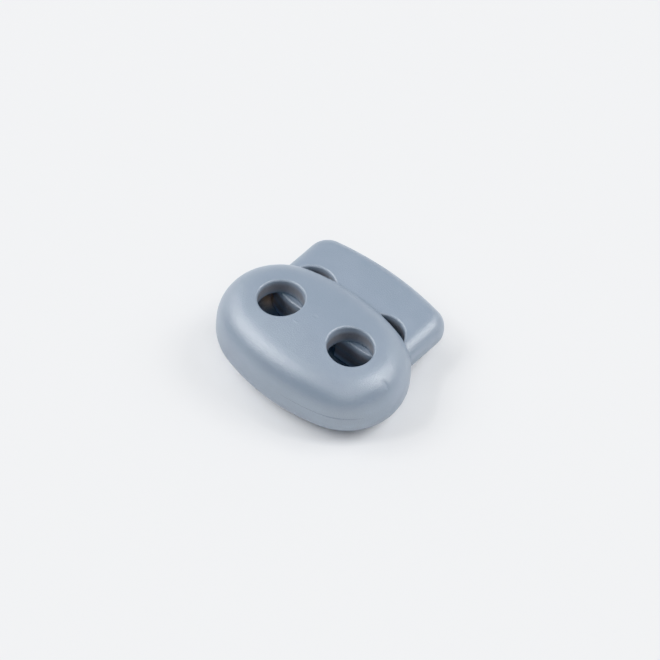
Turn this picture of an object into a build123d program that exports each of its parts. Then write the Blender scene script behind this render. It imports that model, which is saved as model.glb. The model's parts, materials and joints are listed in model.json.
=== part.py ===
from build123d import *
import math
import os

# Two-hole cord lock with a spring-loaded plunger. Millimetres.
# The drawing is made about the housing's centre: +X from the left cord hole to the
# right one, +Y the way the plunger is pushed out, +Z out of the upper face. Each piece
# is then lifted so that the origin is at the bottom centre of the whole cord lock.

# Housing: a moulded pebble with a four-arc outline and two domed faces
housing_half_length = 11.25
housing_half_width = 7.4
housing_end_radius = 6.8
housing_half_height = 4.4
housing_edge_radius = 3.4
dome_radius_along = 63.0
dome_radius_across = 24.0

# Cord holes, through the housing and through the plunger
cord_hole_spacing = 9.5
cord_hole_radius = 2.5
housing_rim_radius = 0.2
plunger_rim_radius = 0.25

# Moulding witness where the two mould halves met. Its outline is the housing's, drawn in
# and moved towards +X and -Y, so it stands proud on that side only and fades both ways
witness_inset = 0.195
witness_shift = (0.12, -0.19)
witness_height = 0.09
witness_level = 0.2

# Plunger: a flat slab with bowed outer end, elliptical inner corners and rounded edges
plunger_half_width = 8.86
plunger_half_height = 1.85
plunger_tip = 13.0
plunger_end_radius = 34.0
plunger_outer_corner_radius = 2.4
plunger_outer_edge_radius = 1.7
plunger_inner_end = 1.77
plunger_inner_edge_radius = 0.2
inner_corner_across = 4.56
inner_corner_along = 2.44

# Travel: pressing the plunger home brings its holes in line with the housing's
stroke = 5.17

# Pocket in the housing that the plunger slides in
slide_gap = 0.12
floor_gap = 0.15

# Snap lugs on the plunger's narrow sides, and the grooves that they run in
lug_proud = 0.4
lug_depth = 1.2
lug_length = 1.0
lug_half_height = 0.85
lug_front = 3.9
lug_ramp = 0.3
groove_gap = 0.08

# Spring, and the channel in the plunger and seat in the housing that hold it
wire_diameter = 0.32
coil_diameter = 2.4
active_turns = 12
closed_turns = 2
spring_end_gap = 0.02
spring_channel_half_width = 1.5
spring_channel_end = 6.2
spring_seat_half_width = 1.6
spring_seat_floor = -6.0
spigot_radius = 0.85
spigot_length = 0.9
spigot_edge = 0.25

# Edge picking: how near an edge must be, and where along its length it is sampled
tolerance = 0.001
sample_shares = (0.0, 0.3, 0.7)

pocket_half_height = plunger_half_height + slide_gap
through_height = 3 * housing_half_height
pocket_floor = plunger_inner_end - stroke - floor_gap
cord_hole_places = [Pos(-cord_hole_spacing / 2, 0), Pos(cord_hole_spacing / 2, 0)]
to_row_frame = Pos(0, (housing_half_width - plunger_tip) / 2, housing_half_height)


def oval_outline(grow=0.0):
    """Four tangent arcs: two long sides and two ends, the whole offset outward by grow."""
    half_length = housing_half_length + grow
    half_width = housing_half_width + grow
    end_radius = housing_end_radius + grow
    end_centre = half_length - end_radius
    drop = half_width - end_radius
    side_radius = (end_centre**2 + half_width**2 - end_radius**2) / (2 * drop)
    side_centre = half_width - side_radius
    lean = math.atan2(-side_centre, end_centre)
    join_x = end_centre + end_radius * math.cos(lean)
    join_y = end_radius * math.sin(lean)
    sides = [
        ThreePointArc((-join_x, sign * join_y), (0, sign * half_width), (join_x, sign * join_y))
        for sign in (1, -1)
    ]
    ends = [
        ThreePointArc((sign * join_x, join_y), (sign * half_length, 0), (sign * join_x, -join_y))
        for sign in (1, -1)
    ]
    return make_face(sides + ends)


def domed_half():
    """Upper half of the housing's outer form, with its rounded edge."""
    wall = extrude(oval_outline(), through_height)
    dome = Torus(dome_radius_along - dome_radius_across, dome_radius_across)
    dome_centre = Pos(0, 0, housing_half_height - dome_radius_along)
    half = wall & (dome_centre * Rot(90, 0, 0) * dome)
    rim = half.edges().filter_by(lambda edge: edge.center().Z > housing_half_height / 2)
    return fillet(rim, housing_edge_radius)


def long_slab(half_width, half_height, edge_radius, start, end):
    """A straight bar along Y whose cross-section is a rounded rectangle."""
    section = RectangleRounded(2 * half_width, 2 * half_height, edge_radius)
    return Pos(0, end) * Rot(90, 0, 0) * extrude(section, end - start)


def inner_block(grow, start, half_height):
    """A block out past the plunger's tip, whose plan is the plunger's inner end offset by grow."""
    half_width = plunger_half_width + grow
    across = inner_corner_across + grow
    along = inner_corner_along + grow
    flat = half_width - across
    far = plunger_tip + plunger_half_width
    plan = make_face(
        [
            Line((-flat, start), (flat, start)),
            EllipticalCenterArc((flat, start + along), across, along, -90),
            Line((half_width, start + along), (half_width, far)),
            Line((half_width, far), (-half_width, far)),
            Line((-half_width, far), (-half_width, start + along)),
            EllipticalCenterArc((-flat, start + along), across, along, 180),
        ]
    )
    return extrude(plan, half_height, both=True)


def round_faces(body, half_height, radius):
    """Rounds every edge that lies in the flat upper and lower faces."""
    flat_edges = body.edges().filter_by(lambda e: abs(abs(e.center().Z) - half_height) < tolerance)
    return fillet(flat_edges, radius)


def at_cord_holes(tool, along=0.0):
    """Copies of a tool at both cord holes, moved along Y."""
    return [Pos(0, along) * place * tool for place in cord_hole_places]


def outer_rims(body, along, level):
    """The edges where the cord holes, moved along Y, leave the body's faces beyond level."""

    def on_rim(point):
        from_axis = math.hypot(abs(point.X) - cord_hole_spacing / 2, point.Y - along)
        return abs(from_axis - cord_hole_radius) < tolerance and abs(point.Z) > level

    def is_rim(edge):
        return all(on_rim(edge @ share) for share in sample_shares)

    return body.edges().filter_by(is_rim)


def spigot(start, direction):
    """Short round peg along Y that keeps one end of the spring central."""
    peg = extrude(Circle(spigot_radius), spigot_length)
    peg = chamfer(peg.edges().group_by(Axis.Z)[-1], spigot_edge)
    return Plane((0, start, 0), x_dir=(1, 0, 0), z_dir=(0, direction, 0)) * peg


def lug(side):
    """Snap lug on one narrow side of the plunger, with a ramp that lets it in."""
    block = Box(lug_depth, lug_length, 2 * lug_half_height)
    ramp_edge = block.edges().filter_by(Axis.Z).sort_by(lambda e: e.center().X - e.center().Y)
    block = chamfer(ramp_edge[-1], lug_ramp)
    middle = plunger_half_width + lug_proud - lug_depth / 2
    placed = Pos(middle, lug_front - lug_length / 2) * block
    return placed if side > 0 else placed.mirror(Plane.YZ)


def groove(side):
    """Groove in the pocket's side wall that a lug runs in, and whose end stops it."""
    length = lug_length + stroke + 2 * groove_gap
    block = Box(lug_depth + 2 * groove_gap, length, 2 * (lug_half_height + groove_gap))
    across = plunger_half_width + lug_proud - lug_depth / 2
    along = lug_front + groove_gap - length / 2
    return Pos(side * across, along) * block


def make_housing():
    """Domed pebble with the plunger's pocket, two cord holes and the spring's seat."""
    half = domed_half()
    witness = extrude(oval_outline(-witness_inset), witness_height / 2, both=True)
    body = half + half.mirror(Plane.XY) + Pos(*witness_shift, witness_level) * witness
    section = long_slab(
        plunger_half_width + slide_gap,
        pocket_half_height,
        plunger_outer_edge_radius + slide_gap,
        pocket_floor,
        plunger_tip,
    )
    body -= section & inner_block(slide_gap, pocket_floor, housing_half_height)
    seat_length = pocket_floor - spring_seat_floor + floor_gap
    seat_middle = spring_seat_floor + seat_length / 2
    seat = Box(2 * spring_seat_half_width, seat_length, 2 * spring_seat_half_width)
    body -= Pos(0, seat_middle) * seat
    body += spigot(spring_seat_floor, 1)
    body -= [groove(side) for side in (-1, 1)]
    body -= at_cord_holes(Cylinder(cord_hole_radius, through_height))
    return fillet(outer_rims(body, 0.0, pocket_half_height + housing_rim_radius), housing_rim_radius)


def make_plunger():
    """Flat slab with two cord holes, the spring's channel and two snap lugs."""
    bow_centre = plunger_tip - plunger_end_radius
    bar = Pos(0, plunger_tip / 2) * Rectangle(2 * plunger_half_width, 3 * plunger_tip)
    plan = bar & (Pos(0, bow_centre) * Circle(plunger_end_radius))
    plan = fillet(plan.vertices().group_by(Axis.Y)[-1], plunger_outer_corner_radius)
    outer = round_faces(
        extrude(plan, plunger_half_height, both=True), plunger_half_height, plunger_outer_edge_radius
    )
    inner = inner_block(0.0, plunger_inner_end, plunger_half_height)
    inner = round_faces(inner, plunger_half_height, plunger_inner_edge_radius)
    body = outer & inner
    channel_length = spring_channel_end - plunger_inner_end + floor_gap
    channel_middle = spring_channel_end - channel_length / 2
    channel = Box(2 * spring_channel_half_width, channel_length, through_height)
    body -= Pos(0, channel_middle) * channel
    body += spigot(spring_channel_end, -1)
    body += [lug(side) for side in (-1, 1)]
    body -= at_cord_holes(Cylinder(cord_hole_radius, through_height), stroke)
    return fillet(outer_rims(body, stroke, plunger_half_height / 2), plunger_rim_radius)


def make_spring():
    """Round-wire compression spring, from the housing's seat to the end of the channel."""
    length = spring_channel_end - spring_seat_floor - wire_diameter - 2 * spring_end_gap
    coil = Helix(length / (active_turns + closed_turns), length, coil_diameter / 2)
    wire = Plane(coil @ 0, z_dir=coil % 0) * Circle(wire_diameter / 2)
    spring = sweep(wire, path=coil, is_frenet=True)
    start = spring_seat_floor + spring_end_gap + wire_diameter / 2
    return Pos(0, start) * Rot(-90, 0, 0) * spring


pieces = {
    "housing": make_housing(),
    "plunger": make_plunger(),
    "spring": make_spring(),
}
os.makedirs("parts", exist_ok=True)
for name, piece in pieces.items():
    export_step(to_row_frame * piece, f"parts/{name}.step")
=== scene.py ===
import json
import math

import bmesh
import bpy
from mathutils import Matrix, Vector


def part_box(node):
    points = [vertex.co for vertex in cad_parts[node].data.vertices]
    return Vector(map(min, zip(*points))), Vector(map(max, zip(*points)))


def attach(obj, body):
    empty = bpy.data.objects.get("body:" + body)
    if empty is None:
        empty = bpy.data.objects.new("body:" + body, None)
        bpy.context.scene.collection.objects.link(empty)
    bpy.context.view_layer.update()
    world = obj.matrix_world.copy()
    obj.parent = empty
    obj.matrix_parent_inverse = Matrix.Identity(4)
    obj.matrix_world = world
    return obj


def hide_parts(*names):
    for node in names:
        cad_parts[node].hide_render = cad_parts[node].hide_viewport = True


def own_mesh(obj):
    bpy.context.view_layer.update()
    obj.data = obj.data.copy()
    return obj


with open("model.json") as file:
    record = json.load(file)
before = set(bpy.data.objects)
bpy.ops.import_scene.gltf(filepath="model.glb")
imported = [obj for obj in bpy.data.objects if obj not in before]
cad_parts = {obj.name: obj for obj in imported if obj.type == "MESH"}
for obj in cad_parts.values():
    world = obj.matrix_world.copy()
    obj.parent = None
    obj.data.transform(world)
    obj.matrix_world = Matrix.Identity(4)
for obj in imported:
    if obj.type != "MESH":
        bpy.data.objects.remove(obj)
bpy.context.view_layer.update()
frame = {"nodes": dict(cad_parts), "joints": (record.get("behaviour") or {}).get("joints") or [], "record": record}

MM = 0.001

# ---------------------------------------------------------------- sizes from the frame
housing_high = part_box("housing")[1]
spring_low, spring_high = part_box("spring")
stroke = [joint for joint in frame["joints"] if joint["name"] == "plunger_slide"][0]["range_m"][1]
mounts = {mount["name"]: mount for mount in frame["record"]["mounts"]}
bore_radius = mounts["housing_upper_hole_right"]["dims"]["r_mm"] * MM
bore_x, hole_line_y = mounts["housing_upper_hole_right"]["pos_m"][:2]
mid_height = housing_high.z / 2
part_centre = Vector((0.0, hole_line_y, mid_height))

# ---------------------------------------------------------------- node helpers
class Graph:
    """Short calls that add and join shader nodes."""

    def __init__(self, name):
        self.material = bpy.data.materials.new(name)
        self.material.use_nodes = True
        self.tree = self.material.node_tree
        self.tree.nodes.clear()

    def add(self, kind, **settings):
        node = self.tree.nodes.new(kind)
        for key, value in settings.items():
            setattr(node, key, value)
        return node

    def feed(self, socket, value):
        """Sets a socket to a constant, or joins an output to it."""
        if isinstance(value, bpy.types.NodeSocket):
            self.tree.links.new(value, socket)
        else:
            socket.default_value = value

    def math(self, operation, *values):
        node = self.add("ShaderNodeMath", operation=operation)
        for socket, value in zip(node.inputs, values):
            self.feed(socket, value)
        return node.outputs[0]

    def vector(self, operation, *values):
        node = self.add("ShaderNodeVectorMath", operation=operation)
        for socket, value in zip(node.inputs, values):
            self.feed(socket, value)
        return node.outputs["Value" if operation == "LENGTH" else "Vector"]

    def place(self):
        """Object coordinates, which are the row frame's, in metres."""
        return self.add("ShaderNodeTexCoord").outputs["Object"]

    def parts(self, vector):
        node = self.add("ShaderNodeSeparateXYZ")
        self.feed(node.inputs[0], vector)
        return node.outputs

    def noise(self, coords, scale, detail=2.0):
        """Soft noise around 0.5, with that many cells to the metre."""
        node = self.add("ShaderNodeTexNoise")
        self.feed(node.inputs["Vector"], coords)
        self.feed(node.inputs["Scale"], scale)
        self.feed(node.inputs["Detail"], detail)
        return node.outputs["Fac"]

    def ramp(self, value, low, high, out_low=0.0, out_high=1.0, smooth=False):
        node = self.add("ShaderNodeMapRange")
        node.interpolation_type = "SMOOTHSTEP" if smooth else "LINEAR"
        for key, number in (
            ("Value", value),
            ("From Min", low),
            ("From Max", high),
            ("To Min", out_low),
            ("To Max", out_high),
        ):
            self.feed(node.inputs[key], number)
        return node.outputs["Result"]

    def mix(self, share, first, second):
        node = self.add("ShaderNodeMix", data_type="RGBA")
        self.feed(node.inputs[0], share)
        self.feed(node.inputs[6], first)
        self.feed(node.inputs[7], second)
        return node.outputs[2]

    def bump(self, height, strength, distance, normal=None):
        """Relief from a height between 0 and 1, on top of another relief if one is given."""
        node = self.add("ShaderNodeBump")
        self.feed(node.inputs["Strength"], strength)
        self.feed(node.inputs["Distance"], distance)
        self.feed(node.inputs["Height"], height)
        if normal is not None:
            self.feed(node.inputs["Normal"], normal)
        return node.outputs["Normal"]

    def spot(self, coords, middle, sizes):
        """1 at a point, falling to 0 at an ellipsoid of those half sizes around it."""
        offset = self.vector("SUBTRACT", coords, tuple(middle))
        scaled = self.vector("DIVIDE", offset, tuple(sizes))
        return self.ramp(self.vector("LENGTH", scaled), 0.0, 1.0, 1.0, 0.0, smooth=True)

    def finish(self, shader):
        out = self.add("ShaderNodeOutputMaterial")
        self.feed(out.inputs["Surface"], shader.outputs["BSDF"])
        return self.material


def principled(graph, colour, roughness, normal=None, **constants):
    """A Principled shader with its constants set on the sockets."""
    shader = graph.add("ShaderNodeBsdfPrincipled")
    graph.feed(shader.inputs["Base Color"], colour)
    graph.feed(shader.inputs["Roughness"], roughness)
    if normal is not None:
        graph.feed(shader.inputs["Normal"], normal)
    for key, value in constants.items():
        shader.inputs[key.replace("_", " ")].default_value = value
    return shader


# ---------------------------------------------------------------- the two mouldings
BODY_DARK = (0.208, 0.264, 0.341, 1)
BODY_LIGHT = (0.228, 0.287, 0.367, 1)
# Painted tones inside: painted light at the mouths of the holes, painted shade deeper in them, in the pocket and
# on the plunger's inner end
BORE_PAINTED_LIGHT = (0.37, 0.44, 0.54, 1)
BORE_PAINTED_SHADE = (0.25, 0.257, 0.285, 1)
BORE_DEEP_PAINTED_SHADE = (0.21, 0.25, 0.31, 1)
# Warm, lighter tone of a patch of painted light inside the pocket
WARM_LIGHT_TONE = (0.48, 0.42, 0.37, 1)

# Cells to the metre of the cloudy colour, the uneven gloss and the moulded grain
CLOUDS = 180.0
GLOSS_PATCHES = 900.0
GRAIN = 9600.0
GRAIN_STRENGTH = 0.6
GRAIN_DEPTH = 0.06 * MM
ROUGHNESS = (0.31, 0.37)

# Depths below the mouth of a hole over which the middle painted shade turns into the painted light of the mouth,
# and the deep painted shade into the middle one
MOUTH_FADE = (1.3 * MM, 0.5 * MM)
MIDDLE_FADE = (2.3 * MM, 1.6 * MM)

# Distances out from a hole's wall over which its painted shade fades away
RIM_FADE = (0.01 * MM, 0.06 * MM)

# Half sizes of an upright oval column about the pocket, and the shares of that column
# and the distances from mid height over which the pocket's painted shade fades away
POCKET_COLUMN = (11.0 * MM, 7.1 * MM, 100.0 * MM)
COLUMN_FADE = (0.86, 0.94)
HEIGHT_FADE = (1.99 * MM, 2.04 * MM)


def patch(middle, sizes):
    """A place and half sizes on the part, given in millimetres from its centre."""
    return part_centre + Vector(middle) * MM, Vector(sizes) * MM


# Where the warm patch of painted light sits, near the plunger's left inner corner inside the pocket
WARM_LIGHT_PATCH = patch((-8.4, 2.6, -1.2), (1.6, 1.8, 1.7))
# Small marks on the housing, each with its height: the gate, a scuff, and a nick in the edge
MARKS = (
    (-0.04, *patch((-0.4, 0.35, 4.35), (0.45, 0.3, 0.5))),
    (0.025, *patch((-1.5, -1.5, 4.35), (0.55, 0.16, 0.5))),
    (-0.07, *patch((10.4, -0.6, 3.3), (1.2, 0.36, 1.2))),
)


def bore_shade_share(graph, coords, line_y):
    """Where the painted light and shade of the holes go: 1 on the walls of the two cord holes on that line, 0
    outside their rounded rims.
    """
    x, y, _ = graph.parts(coords)
    across = graph.math("SUBTRACT", graph.math("ABSOLUTE", x), bore_x)
    along = graph.math("SUBTRACT", y, line_y)
    squares = [graph.math("POWER", offset, 2.0) for offset in (across, along)]
    span = graph.math("SQRT", graph.math("ADD", *squares))
    inner, outer = [bore_radius + out for out in RIM_FADE]
    return graph.ramp(span, inner, outer, 1.0, 0.0, smooth=True)


def pocket_shade_share(graph, coords):
    """Where the pocket's painted shade goes: 1 well inside the housing, at the height of the pocket, and 0 on its
    outside.
    """
    offset = graph.vector("SUBTRACT", coords, tuple(part_centre))
    inward = graph.vector("DIVIDE", offset, POCKET_COLUMN)
    inside = graph.ramp(graph.vector("LENGTH", inward), *COLUMN_FADE, 1.0, 0.0)
    height = graph.math("ABSOLUTE", graph.parts(offset)[2])
    return graph.math("MULTIPLY", inside, graph.ramp(height, *HEIGHT_FADE, 1.0, 0.0))


def plastic(name, seed, line_y, mouth, inner, marks=()):
    """
    Satin blue-grey acetal with a fine moulded grain, painted light at the mouths of the holes, painted shade
    deeper in them and on the other inner walls, a warm patch of painted light inside, and any small marks.
    The holes are on the line at line_y and open at the height mouth; inner gives the other inner walls that take
    the painted shade.
    """
    graph = Graph(name)
    coords = graph.place()
    shifted = graph.vector("ADD", coords, (seed, 2 * seed, 3 * seed))
    cloud = graph.noise(shifted, CLOUDS, 3.0)
    grain = graph.noise(shifted, GRAIN, 1.0)
    gloss = graph.noise(shifted, GLOSS_PATCHES)
    colour = graph.mix(graph.ramp(cloud, 0.3, 0.7), BODY_DARK, BODY_LIGHT)
    # Where the painted light and shade go: the walls of the holes and the other inner walls
    painted_shade_share = graph.math("MAXIMUM", bore_shade_share(graph, coords, line_y), inner(graph, coords))
    level = graph.math("SUBTRACT", graph.parts(coords)[2], mid_height)
    height = graph.math("ABSOLUTE", level)
    # Painted light near the mouth, turning into painted shade deeper down
    upper = graph.ramp(height, *[mouth - depth for depth in MOUTH_FADE], smooth=True)
    lower = graph.ramp(height, *[mouth - depth for depth in MIDDLE_FADE], smooth=True)
    painted_wall_shading = graph.mix(upper, graph.mix(lower, BORE_DEEP_PAINTED_SHADE, BORE_PAINTED_SHADE), BORE_PAINTED_LIGHT)
    colour = graph.mix(painted_shade_share, colour, painted_wall_shading)
    # A warm patch of painted light, only on the inner walls
    warm_light = graph.spot(coords, *WARM_LIGHT_PATCH)
    colour = graph.mix(graph.math("MULTIPLY", warm_light, painted_shade_share), colour, WARM_LIGHT_TONE)
    rough = graph.ramp(gloss, 0.2, 0.8, *ROUGHNESS)
    normal = graph.bump(grain, GRAIN_STRENGTH, GRAIN_DEPTH)
    for rise, middle, sizes in marks:
        normal = graph.bump(graph.spot(coords, middle, sizes), 1.0, rise * MM, normal)
    return graph.finish(principled(graph, colour, rough, normal, IOR=1.62, Specular_IOR_Level=1.0))


def plunger_inner_shade_share(graph, coords):
    """Where the plunger's painted shade goes: 1 on its upright inner end, 0 on its faces and on all that shows
    outside.
    """
    level = graph.math("ABSOLUTE", graph.parts(graph.add("ShaderNodeTexCoord").outputs["Normal"])[2])
    upright = graph.ramp(level, 0.25, 0.5, 1.0, 0.0)
    y = graph.parts(coords)[1]
    inner = graph.ramp(y, hole_line_y + 4.0 * MM, hole_line_y + 4.4 * MM, 1.0, 0.0)
    return graph.math("MULTIPLY", upright, inner)


looks = {
    "housing": plastic(
        "housing_look",
        seed=1.0,
        line_y=hole_line_y,
        mouth=4.3 * MM,
        inner=pocket_shade_share,
        marks=MARKS,
    ),
    "plunger": plastic(
        "plunger_look",
        seed=7.0,
        line_y=hole_line_y + stroke,
        mouth=2.05 * MM,
        inner=plunger_inner_shade_share,
    ),
}
for node, material in looks.items():
    for material_slot in frame["nodes"][node].material_slots:
        material_slot.material = material

# ---------------------------------------------------------------- the spring
WIRE = 0.32 * MM
COIL = 2.4 * MM
TURNS = 14
CLOSED_TURNS = 1.25
OPENING_TURNS = 0.5
CLOSED_PITCH = 1.02 * WIRE
# The centre line stops less than half a wire short of each end, so the ends come out ground flat
END_INSET = 0.3 * WIRE
STEPS = 32
SIDES = 12


def steel():
    """Bright drawn spring wire, with fine lines along it and a few duller patches."""
    graph = Graph("spring_wire_look")
    coords = graph.place()
    dull = graph.noise(coords, 1500.0, 3.0)
    lines = graph.noise(graph.vector("MULTIPLY", coords, (1.0, 6.0, 1.0)), 6000.0, 2.0)
    colour = graph.mix(graph.ramp(dull, 0.35, 0.7), (0.60, 0.60, 0.61, 1), (0.48, 0.47, 0.46, 1))
    rough = graph.ramp(lines, 0.3, 0.7, 0.22, 0.34)
    return graph.finish(principled(graph, colour, rough, graph.bump(lines, 0.3, 0.00001), Metallic=1.0))


def coil_line():
    """Points along the coil's centre line: closed turns at both ends, an even pitch between."""
    count = TURNS * STEPS
    rise = []
    for step in range(count):
        turn = step / STEPS
        to_end = min(turn, TURNS - turn)
        openness = min(1.0, max(0.0, (to_end - CLOSED_TURNS) / OPENING_TURNS))
        rise.append(openness * openness * (3 - 2 * openness))
    low = spring_low.y + END_INSET
    length = spring_high.y - END_INSET - low
    closed_rise = CLOSED_PITCH / STEPS
    open_rise = (length - closed_rise * count) / sum(rise)
    y, points = low, []
    for step in range(count + 1):
        angle = 2 * math.pi * step / STEPS
        points.append(
            Vector((COIL / 2 * math.cos(angle), y, mid_height + COIL / 2 * math.sin(angle)))
        )
        y += closed_rise + open_rise * rise[min(step, count - 1)]
    return points


def make_spring():
    """Compression spring with closed, ground ends."""
    points = coil_line()
    edit = bmesh.new()
    rings = []
    for index, point in enumerate(points):
        ahead = points[min(index + 1, len(points) - 1)] - points[max(index - 1, 0)]
        outward = Vector((point.x, 0.0, point.z - mid_height)).normalized()
        across = ahead.normalized().cross(outward)
        ring = []
        for side in range(SIDES):
            turn = 2 * math.pi * side / SIDES
            place = point + WIRE / 2 * (math.cos(turn) * outward + math.sin(turn) * across)
            place.y = min(max(place.y, spring_low.y), spring_high.y)
            ring.append(edit.verts.new(place))
        rings.append(ring)
    for first, second in zip(rings, rings[1:]):
        for side in range(SIDES):
            after = (side + 1) % SIDES
            edit.faces.new((first[side], first[after], second[after], second[side]))
    edit.faces.new(rings[0][::-1])
    edit.faces.new(rings[-1])
    bmesh.ops.recalc_face_normals(edit, faces=edit.faces)
    mesh = bpy.data.meshes.new("spring_coil")
    edit.to_mesh(mesh)
    edit.free()
    for face in mesh.polygons:
        face.use_smooth = len(face.vertices) == 4
    mesh.materials.append(steel())
    coil = bpy.data.objects.new("spring_coil", mesh)
    bpy.context.scene.collection.objects.link(coil)
    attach(coil, "housing")
    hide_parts("spring")
    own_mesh(coil)


make_spring()

# ---------------------------------------------------------------- stage
# The cord lock leans a little on its domed underside, so the floor is tipped to suit:
# its upright leans this far from +Z, towards a direction counted from +X
FLOOR_LEAN = math.radians(4.403)
LEAN_TOWARDS = math.radians(220.35)
FLOOR_HALF_SIDE = 1.5
lean_turn = Matrix.Rotation(LEAN_TOWARDS, 3, "Z") @ Matrix.Rotation(FLOOR_LEAN, 3, "Y")
floor_normal = lean_turn @ Vector((0.0, 0.0, 1.0))


def paper():
    """Plain pale paper with a faint fibre."""
    graph = Graph("floor_paper")
    fibre = graph.noise(graph.place(), 700.0, 3.0)
    colour = graph.mix(fibre, (0.87, 0.88, 0.895, 1), (0.89, 0.90, 0.915, 1))
    return graph.finish(principled(graph, colour, 0.9, Specular_IOR_Level=0.2))


def make_floor():
    """A wide flat sheet that touches the lowest point of the cord lock."""
    lowest = min(
        floor_normal.dot(vertex.co)
        for node in ("housing", "plunger")
        for vertex in frame["nodes"][node].data.vertices
    )
    mesh = bpy.data.meshes.new("floor")
    edit = bmesh.new()
    bmesh.ops.create_grid(edit, x_segments=1, y_segments=1, size=FLOOR_HALF_SIDE)
    edit.to_mesh(mesh)
    edit.free()
    floor = bpy.data.objects.new("floor", mesh)
    bpy.context.scene.collection.objects.link(floor)
    floor.rotation_mode = "QUATERNION"
    floor.rotation_quaternion = floor_normal.to_track_quat("Z", "Y")
    floor.location = floor_normal * lowest
    mesh.materials.append(paper())


make_floor()

# ---------------------------------------------------------------- camera
# The direction that the picture is taken from, as a turn from +X and a rise from the XY plane,
# the roll of the picture, and the camera's place from the part's centre: to its own right, up and back
CAMERA_AZIMUTH = math.radians(-54.135)
CAMERA_ELEVATION = math.radians(50.383)
CAMERA_ROLL = math.radians(6.013)
CAMERA_OFFSET = Vector((1.754, 1.783, 626.415)) * MM
SENSOR_WIDTH = 36.0
LENS_IN_SENSOR_WIDTHS = 9.0909

camera_axes = (
    Matrix.Rotation(CAMERA_AZIMUTH + math.pi / 2, 3, "Z")
    @ Matrix.Rotation(math.pi / 2 - CAMERA_ELEVATION, 3, "X")
    @ Matrix.Rotation(CAMERA_ROLL, 3, "Z")
)
camera_right = camera_axes.col[0]


def make_camera():
    """A long lens, from the front right and above, rolled a little."""
    data = bpy.data.cameras.new("camera")
    data.sensor_width = SENSOR_WIDTH
    data.lens = SENSOR_WIDTH * LENS_IN_SENSOR_WIDTHS
    data.clip_start = 0.01
    data.clip_end = 10.0
    camera = bpy.data.objects.new("camera", data)
    place = part_centre + camera_axes @ CAMERA_OFFSET
    camera.matrix_world = Matrix.Translation(place) @ camera_axes.to_4x4()
    bpy.context.scene.collection.objects.link(camera)
    bpy.context.scene.camera = camera


make_camera()

# ---------------------------------------------------------------- light
SOFTBOX_SIZE = 0.3
SOFTBOX_DISTANCE = 0.5

up = floor_normal
screen_right = (camera_right - camera_right.dot(up) * up).normalized()
screen_back = up.cross(screen_right)


def area_light(name, place, aim, size, power):
    """A square soft box of that side and power, at a place, pointed at aim."""
    data = bpy.data.lights.new(name, "AREA")
    data.energy = power
    data.shape = "SQUARE"
    data.size = size
    light = bpy.data.objects.new(name, data)
    light.location = place
    light.rotation_mode = "QUATERNION"
    light.rotation_quaternion = (aim - place).to_track_quat("-Z", "Y")
    bpy.context.scene.collection.objects.link(light)


def from_direction(azimuth, elevation):
    """A place seen from the part: azimuth from the picture's right, counter-clockwise from above."""
    turn, rise = math.radians(azimuth), math.radians(elevation)
    level = math.cos(turn) * screen_right + math.sin(turn) * screen_back
    return part_centre + SOFTBOX_DISTANCE * (math.cos(rise) * level + math.sin(rise) * up)


# Two large soft boxes left and right, and weak fill all round: azimuth, elevation, watts
softboxes = (
    ("softbox_left", 178, 48, 1.95),
    ("softbox_right", 2, 48, 2.02),
    ("softbox_back_left", 135, 48, 0.55),
    ("softbox_front", 277, 48, 0.80),
    ("softbox_top", 90, 72, 0.20),
    ("low_right", 0, 18, 0.23),
    ("low_back_right", 45, 18, 0.37),
    ("low_back", 90, 18, 0.20),
    ("low_back_left", 135, 18, 0.53),
)
for name, azimuth, elevation, power in softboxes:
    area_light(name, from_direction(azimuth, elevation), part_centre, SOFTBOX_SIZE, power)

world = bpy.data.worlds.new("studio")
world.use_nodes = True
world.node_tree.nodes["Background"].inputs["Color"].default_value = (0.95, 0.97, 1.0, 1)
world.node_tree.nodes["Background"].inputs["Strength"].default_value = 0.005
bpy.context.scene.world = world
bpy.context.scene.view_settings.view_transform = "Khronos PBR Neutral"
bpy.context.scene.view_settings.look = "Medium Low Contrast"
